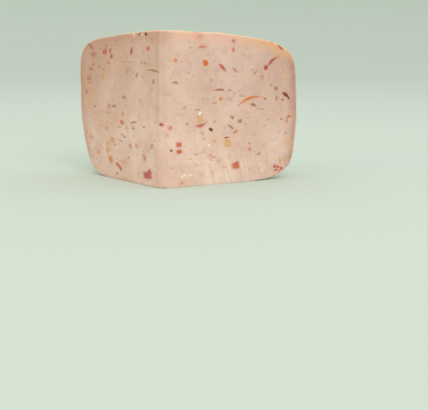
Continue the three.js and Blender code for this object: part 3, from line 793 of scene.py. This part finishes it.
# Flakes in the rind are fewer and mostly lie under its skin: round the side, and on top.
RIND_SIDE_FLAKES = 70
RIND_FLAT_FLAKES = 34
RIND_TURN = (0.28, 0.72)  # from one cut to the other, in half turns from +X
SIDE_BAND = (14, 80)  # heights, in millimetres
TOP_BAND = (18, 84)  # distances from the wheel's axis, in millimetres
RIND_VEILS = (0.2, 0.55, 0.7, 0.78, 0.84)
RIND_SHARES = (("red", 0.42), ("gold", 0.16), ("skin", 0.24), ("herb", 0.18))
for number in range(RIND_SIDE_FLAKES + RIND_FLAT_FLAKES):
    turn = chance.uniform(*RIND_TURN) * math.pi
    out = Vector((math.cos(turn), math.sin(turn), 0))
    if number < RIND_SIDE_FLAKES:
        spot = wheel_axis + out * WHEEL_RADIUS + UP * chance.uniform(*SIDE_BAND) * MM
    else:
        spot = wheel_axis + out * chance.uniform(*TOP_BAND) * MM + UP * WHEEL_HEIGHT
        out = UP
    spot, normal = surface_under(spot, out)
    along = normal.cross(UP if out != UP else Vector((0, 1, 0))).normalized()
    long = 1 + 4.5 * chance.random() ** 2
    wide = long * chance.uniform(0.25, 0.8)
    tone, veil = chance.random(), chance.choice(RIND_VEILS)
    flake = (long, wide, chance.uniform(-50, 50), 0, tone, veil)
    kind = chance.choices(*zip(*RIND_SHARES))[0]
    laid[kind].append(lay_flake(spot, along, normal, flake, 1.0))
bpy.data.objects.remove(blank)

# A flake's veil takes the colour of the paste that lies over it.
nearest_point = kdtree.KDTree(len(points))
for number, point in enumerate(points):
    nearest_point.insert(point, number)
nearest_point.balance()


def join(pieces, name):
    """Makes one piece of many."""
    bpy.ops.object.select_all(action="DESELECT")
    for piece in pieces:
        piece.select_set(True)
    bpy.context.view_layer.objects.active = pieces[0]
    bpy.ops.object.join()
    pieces[0].name = name
    return pieces[0]


# Each kind's flesh, from its darkest colour to its palest
FLAKE_COLOURS = {
    "red": (shade(124, 42, 40), shade(178, 72, 62), shade(200, 88, 58), shade(202, 116, 78)),
    "gold": (shade(198, 98, 50), shade(204, 128, 66), shade(204, 152, 90), shade(210, 170, 114)),
    "skin": (shade(112, 40, 42), shade(152, 80, 62), shade(170, 112, 80), shade(178, 138, 98)),
    "herb": (shade(150, 110, 62), shade(164, 122, 80), shade(174, 134, 100), shade(180, 146, 118)),
}
FLAKE_NAMES = {
    "red": "red_chili", "gold": "golden_chili", "skin": "dark_skins", "herb": "herb_flecks",
}
FLAKE_ROUGHNESS = {"red": 0.42, "gold": 0.46, "skin": 0.5, "herb": 0.6}
for kind, pieces in laid.items():
    flakes = join(pieces, FLAKE_NAMES[kind])
    over = [nearest_point.find(point)[1] for point in read_points(flakes)]
    keep_values(flakes, "near_rind", near_rind[over])

    material, shader, place = new_material(
        f"{FLAKE_NAMES[kind]}_flesh", Subsurface_Weight=0.12,
        Subsurface_Radius=(1.0, 0.4, 0.25), Subsurface_Scale=0.6 * MM, Specular_IOR_Level=0.24,
    )
    dark, full, bright, pale = FLAKE_COLOURS[kind]
    tone = kept(place, "tone") + (place.cloud(1.2 * MM, detail=3.0, seed=21.0) - 0.5) * 1.1
    colour = place.node(
        "ShaderNodeValToRGB", {"Fac": tone},
        stops=((0.0, dark), (0.34, full), (0.67, bright), (1.0, pale)),
    )

    # The skin side and the rim are darker, and the paste veils the flake and smears over its rim.
    rim = kept(place, "rim")
    skin = kept(place, "skin_side").rise(0.1, 0.7) * 0.5 + rim.rise(0.3, 0.7) * 0.18
    colour = skin.mix(colour, dark)
    ragged_rim = rim + (place.cloud(0.7 * MM, seed=22.0) - 0.5) * 0.5
    smear = (place.cloud(1.5 * MM, detail=3.0, seed=25.0) - 0.5) * 1.4
    covered = kept(place, "veil") * (smear + 1)
    veil = place.math("MINIMUM", covered + ragged_rim.rise(0.42, 1.02) * 0.9, 0.96)
    over = kept(place, "on_rind").mix(paste_colour(place), RIND_ROSE)
    grain = place.cloud(0.5 * MM, detail=3.0, seed=23.0)
    bumps = place.node("ShaderNodeBump", {"Strength": 0.4, "Distance": 0.1 * MM, "Height": grain})
    feed(
        shader,
        Base_Color=veil.mix(colour, over),
        Roughness=veil * 0.15 + FLAKE_ROUGHNESS[kind],
        Normal=bumps,
    )
    flakes.data.materials.clear()
    flakes.data.materials.append(material)
    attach(flakes, "root")


# Beads of whey and fat that the knife pressed out of the paste. They stand on the cut as low
# glossy domes, painted near white: a painted highlight, so they show as small white points
# under any lamp: (along, height, width), in mm.
WHEY_BEADS = {
    "right": [
        (27.2, 43, 1.5), (26.5, 42.2, 1.1), (44.6, 56.3, 1), (33.5, 23.6, 1.5), (32.4, 23.2, 0.8),
        (14.6, 6, 1), (15.8, 7.1, 1.1), (16.9, 6.6, 0.8), (19.4, 6.4, 0.9), (20.6, 7, 1),
        (29.4, 16.6, 0.8), (21.6, 31.6, 0.8),
    ],
    "left": [(19.6, 88.2, 1.1), (23.4, 62.6, 0.8)],
}
BEAD_FLATNESS = 0.8
beads = []
for name, face in FACES.items():
    for at, height, width in WHEY_BEADS[name]:
        spot = sharp_edge + face["along"] * at * MM + UP * height * MM
        ground, _ = surface_under(spot, face["out"])
        bpy.ops.mesh.primitive_ico_sphere_add(
            subdivisions=3, radius=width / 2 * MM, location=ground
        )
        bpy.ops.transform.resize(value=(1, 1, BEAD_FLATNESS))
        bpy.ops.object.shade_smooth()
        beads.append(bpy.context.active_object)
whey = join(beads, "whey_beads")
bpy.ops.object.transform_apply(location=True, rotation=True, scale=True)
wet, shader, place = new_material(
    "whey_painted_glint", Roughness=0.12, Coat_Weight=0.6, Coat_Roughness=0.05, Specular_IOR_Level=0.6
)
painted_glint_mottle = place.cloud(0.8 * MM, seed=24.0).rise(0.3, 0.7)
# Painted highlight: the beads are near white, so they show as white points under any lamp
feed(shader, Base_Color=painted_glint_mottle.mix(shade(250, 240, 232), shade(255, 252, 248)))
whey.data.materials.append(wet)
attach(whey, "root")


# The studio: a plain pale floor that curves up far away into a plain wall, all the way round. It
# is painted card, wide enough that no view sees its end.
FLOOR_RADIUS = 3.6
COVE = ((0.8, 0.04), (0.7, 0.14), (0.5, 0.26), (0.3, 0.4), (0.1, 0.5))  # outward and upward steps
bpy.ops.object.select_all(action="DESELECT")
bpy.ops.mesh.primitive_circle_add(vertices=128, radius=FLOOR_RADIUS, fill_type="NGON")
floor = bpy.context.active_object
floor.name = "studio_floor"
bpy.ops.object.mode_set(mode="EDIT")
bpy.ops.mesh.select_mode(type="EDGE")
bpy.ops.mesh.select_all(action="SELECT")
reach = FLOOR_RADIUS
for outward, upward in COVE:
    bpy.ops.mesh.extrude_edges_move(TRANSFORM_OT_translate={"value": (0, 0, upward)})
    ratio = (reach + outward) / reach
    bpy.ops.transform.resize(value=(ratio, ratio, 1), center_override=(0, 0, 0))
    reach += outward
bpy.ops.object.mode_set(mode="OBJECT")
bpy.ops.object.shade_smooth_by_angle(angle=math.radians(40))
paint, shader, place = new_material("studio_paint", Roughness=0.9, Specular_IOR_Level=0.1)
feed(shader, Base_Color=place.cloud(1.5).mix(shade(197, 212, 201), shade(200, 215, 204)))
floor.data.materials.append(paint)

# Soft light from high on the right in front, a weak warm light from the left, and an even sky.
# Each lamp is a square of cloth with a grid in front, turned towards the middle of the wedge.
LAMPS = {
    "key": {"place": (1.35, -2.34, 1.26), "width": 2.0, "watts": 7.5, "tint": (1.0, 0.98, 0.96)},
    "warm": {"place": (-2.3, -1.9, 0.9), "width": 1.6, "watts": 2, "tint": (1.0, 0.7, 0.48)},
}
LAMP_SPREAD = math.radians(64)  # narrow enough to keep the light off the floor under each lamp
SKY_TINT = (1.0, 0.965, 0.93, 1.0)
SKY_STRENGTH = 0.98
middle = Vector((0, 0, WHEEL_HEIGHT / 2))
for name, lamp in LAMPS.items():
    bpy.ops.object.light_add(type="AREA", location=lamp["place"])
    light = bpy.context.active_object
    light.name = name
    light.data.size = lamp["width"]
    light.data.spread = LAMP_SPREAD
    light.data.energy = lamp["watts"]
    light.data.color = lamp["tint"]
    light.rotation_euler = (middle - light.location).to_track_quat("-Z", "Y").to_euler()
sky = bpy.data.worlds.new("pale_sky")
sky.use_nodes = True
sky.node_tree.nodes["Background"].inputs["Color"].default_value = SKY_TINT
sky.node_tree.nodes["Background"].inputs["Strength"].default_value = SKY_STRENGTH
bpy.context.scene.world = sky
bpy.context.scene.view_settings.view_transform = "Standard"

# The camera stands low in front, a little to the right of the sharp edge, and looks slightly down.
# It aims past the wedge, so that the wedge stands high and left in the frame as photographed.
CAMERA_FROM_EDGE = Vector((131.8, -493.6, 70.2)) * MM
CAMERA_TURN = math.radians(11.5)
CAMERA_DIP = math.radians(8.86)
CAMERA_LENS = 75.02
FILM_WIDTH = 36
bpy.ops.object.camera_add(
    location=sharp_edge + CAMERA_FROM_EDGE,
    rotation=(math.pi / 2 - CAMERA_DIP, 0, CAMERA_TURN),
)
camera = bpy.context.active_object
camera.data.sensor_width = FILM_WIDTH
camera.data.lens = CAMERA_LENS
bpy.context.scene.camera = camera
